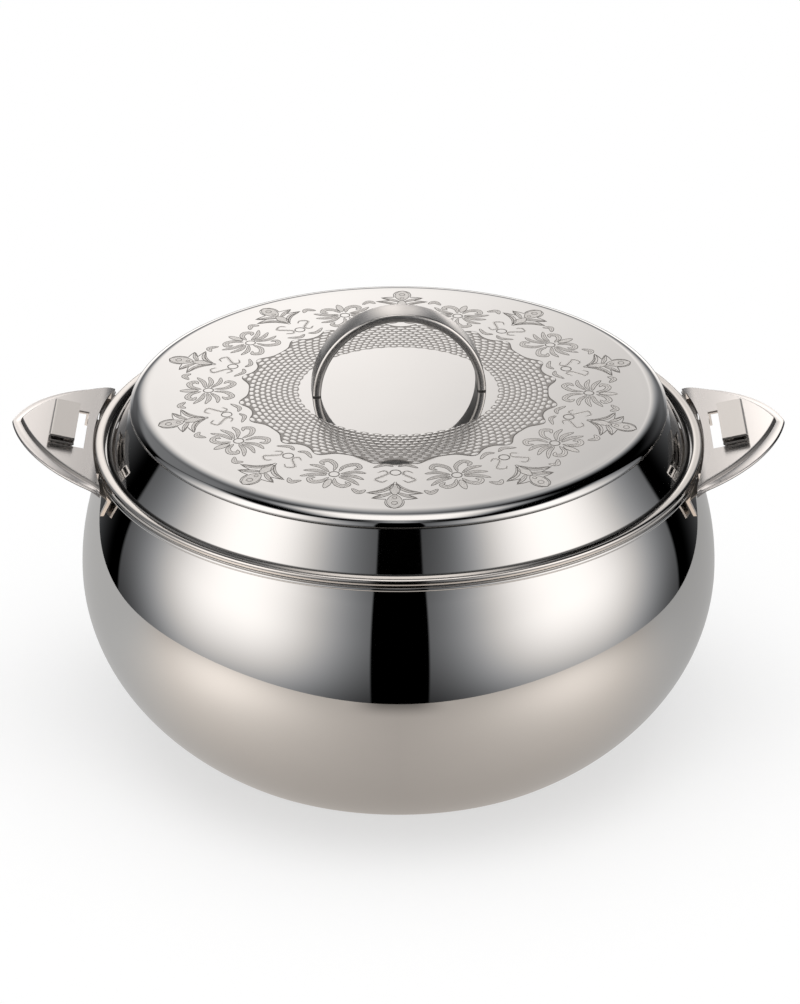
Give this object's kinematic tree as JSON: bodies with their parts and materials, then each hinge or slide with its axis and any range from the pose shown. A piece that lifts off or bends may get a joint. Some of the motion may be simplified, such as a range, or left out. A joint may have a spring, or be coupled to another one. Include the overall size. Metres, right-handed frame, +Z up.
{
  "type": "insulated chapati casserole",
  "caption": "Round double-walled steel casserole with a lift-off insulated lid, a ring handle on the lid and two leaf-shaped side handles with sliding lid locks.",
  "frame": {"origin": "centre of the foot, on the surface that the pot stands on", "axes": "+Z up, X through the two side handles, -Y towards the user"},
  "size_m": [0.3412, 0.2836, 0.1957],
  "materials": {
    "polished_steel": "polished",
    "satin_steel": "satin",
    "foam": "matte",
    "plug_plastic": "matte"
  },
  "bodies": {
    "pot": {"outer_shell": "polished_steel", "inner_bowl": "polished_steel", "body_insulation": "foam", "foam_fill_plug": "plug_plastic", "base_plate": "polished_steel", "left_handle_plate": "polished_steel", "right_handle_plate": "polished_steel", "left_handle_brackets": "satin_steel", "right_handle_brackets": "satin_steel"},
    "lid": {"lid_cover": "polished_steel", "lid_liner": "polished_steel", "lid_insulation": "foam", "lid_fill_plug": "plug_plastic", "lid_handle": "satin_steel", "handle_backing_plate": "satin_steel", "handle_screws": "satin_steel", "handle_washers": "satin_steel"},
    "left_latch": {"left_latch_cap": "polished_steel", "left_latch_fork": "satin_steel", "left_latch_rivets": "satin_steel"},
    "right_latch": {"right_latch_cap": "polished_steel", "right_latch_fork": "satin_steel", "right_latch_rivets": "satin_steel"}
  },
  "joints": [
    {"name": "lid_lift", "type": "slide", "parent": "pot", "child": "lid", "axis": [0, 0, 1], "range_m": [0, 0.08]},
    {"name": "left_latch_slide", "type": "slide", "parent": "pot", "child": "left_latch", "axis": [0.9755, 0, -0.2198], "range_m": [0, 0.0046]},
    {"name": "right_latch_slide", "type": "slide", "parent": "pot", "child": "right_latch", "axis": [-0.9755, 0, -0.2198], "range_m": [0, 0.0046]}
  ]
}
